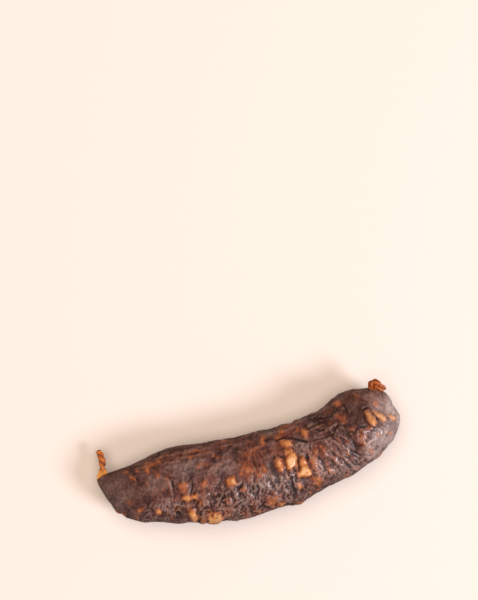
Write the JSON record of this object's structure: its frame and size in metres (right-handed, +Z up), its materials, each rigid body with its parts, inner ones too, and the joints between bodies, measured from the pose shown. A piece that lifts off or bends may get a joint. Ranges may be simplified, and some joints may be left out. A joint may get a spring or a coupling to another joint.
{
  "type": "cured sausage",
  "caption": "Bent link of coarse, air-dried sausage in a shrunken natural casing, with a twisted tail of casing at one end and a folded knot of it at the other.",
  "frame": {"origin": "under the middle of the link's box, on the surface that it lies on", "axes": "+X along the link towards the end with the folded knot, +Y towards the hollow side of its bend, +Z up"},
  "size_m": [0.1358, 0.0474, 0.0314],
  "materials": {
    "cured_meat_in_casing": "satin, dried natural casing over coarse dark meat and amber fat"
  },
  "bodies": {
    "root": {"sausage": "cured_meat_in_casing"}
  },
  "joints": []
}
